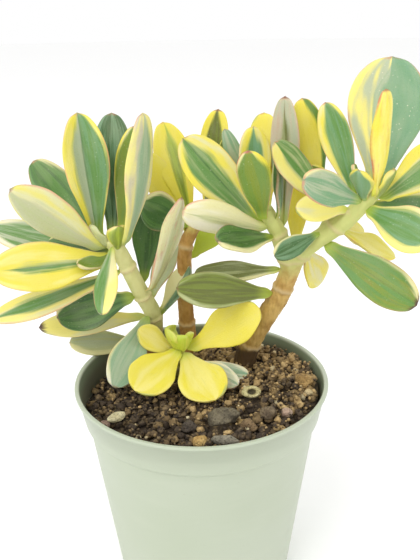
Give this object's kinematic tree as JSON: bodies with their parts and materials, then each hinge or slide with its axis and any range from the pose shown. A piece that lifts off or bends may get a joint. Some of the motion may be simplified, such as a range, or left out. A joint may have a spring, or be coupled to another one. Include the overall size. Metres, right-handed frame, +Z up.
{
  "type": "potted jade plant",
  "caption": "Variegated jade plant with thick yellow, green and pink-edged leaves on woody shoots, growing from gritty soil in a round tapered plastic nursery pot with a deep collar",
  "frame": {"origin": "middle of the pot's flat underside, where it stands", "axes": "+Z up along the pot's axis, +X to the plant's right and -Y to its front"},
  "size_m": [0.1839, 0.105, 0.221],
  "materials": {
    "pot_plastic": "satin",
    "soil_grit": "rough, granular",
    "bark": "rough",
    "young_stem": "smooth",
    "leaf_striped": "waxy satin",
    "leaf_green": "waxy satin",
    "leaf_grey": "waxy satin",
    "leaf_yellow": "waxy satin",
    "stone_pale": "rough",
    "stone_tan": "rough",
    "stone_dark": "rough"
  },
  "bodies": {
    "root": {"pot": "pot_plastic", "soil": "soil_grit", "stem_left": "bark", "stem_middle": "bark", "stem_right": "bark", "stem_front": "young_stem", "leaf_left_01": "leaf_striped", "leaf_left_02": "leaf_green", "leaf_left_03": "leaf_green", "leaf_left_04": "leaf_grey", "leaf_left_05": "leaf_green", "leaf_left_06": "leaf_grey", "leaf_left_07": "leaf_green", "leaf_left_08": "leaf_yellow", "leaf_left_09": "leaf_yellow", "leaf_left_10": "leaf_striped", "leaf_left_11": "leaf_yellow", "leaf_left_12": "leaf_green", "leaf_left_13": "leaf_yellow", "leaf_left_14": "leaf_grey", "leaf_left_15": "leaf_grey", "leaf_left_16": "leaf_green", "leaf_left_17": "leaf_grey", "leaf_middle_01": "leaf_green", "leaf_middle_02": "leaf_yellow", "leaf_middle_03": "leaf_green", "leaf_middle_04": "leaf_green", "leaf_centre_01": "leaf_striped", "leaf_centre_02": "leaf_grey", "leaf_centre_03": "leaf_green", "leaf_centre_04": "leaf_green", "leaf_centre_05": "leaf_striped", "leaf_centre_06": "leaf_yellow", "leaf_centre_07": "leaf_green", "leaf_centre_08": "leaf_striped", "leaf_centre_09": "leaf_grey", "leaf_back_01": "leaf_striped", "leaf_back_02": "leaf_yellow", "leaf_right_01": "leaf_striped", "leaf_right_02": "leaf_yellow", "leaf_right_03": "leaf_green", "leaf_right_04": "leaf_grey", "leaf_right_05": "leaf_yellow", "leaf_right_06": "leaf_striped", "leaf_right_07": "leaf_green", "leaf_right_08": "leaf_grey", "leaf_right_09": "leaf_green", "leaf_right_10": "leaf_yellow", "leaf_right_11": "leaf_green", "leaf_right_12": "leaf_yellow", "leaf_right_13": "leaf_grey", "leaf_right_14": "leaf_grey", "leaf_front_01": "leaf_yellow", "leaf_front_02": "leaf_yellow", "leaf_front_03": "leaf_yellow", "leaf_front_04": "leaf_yellow", "leaf_front_05": "leaf_grey", "pebble_pale": "stone_pale", "pebble_hollow": "stone_tan", "pebble_dark": "stone_dark"}
  },
  "joints": []
}
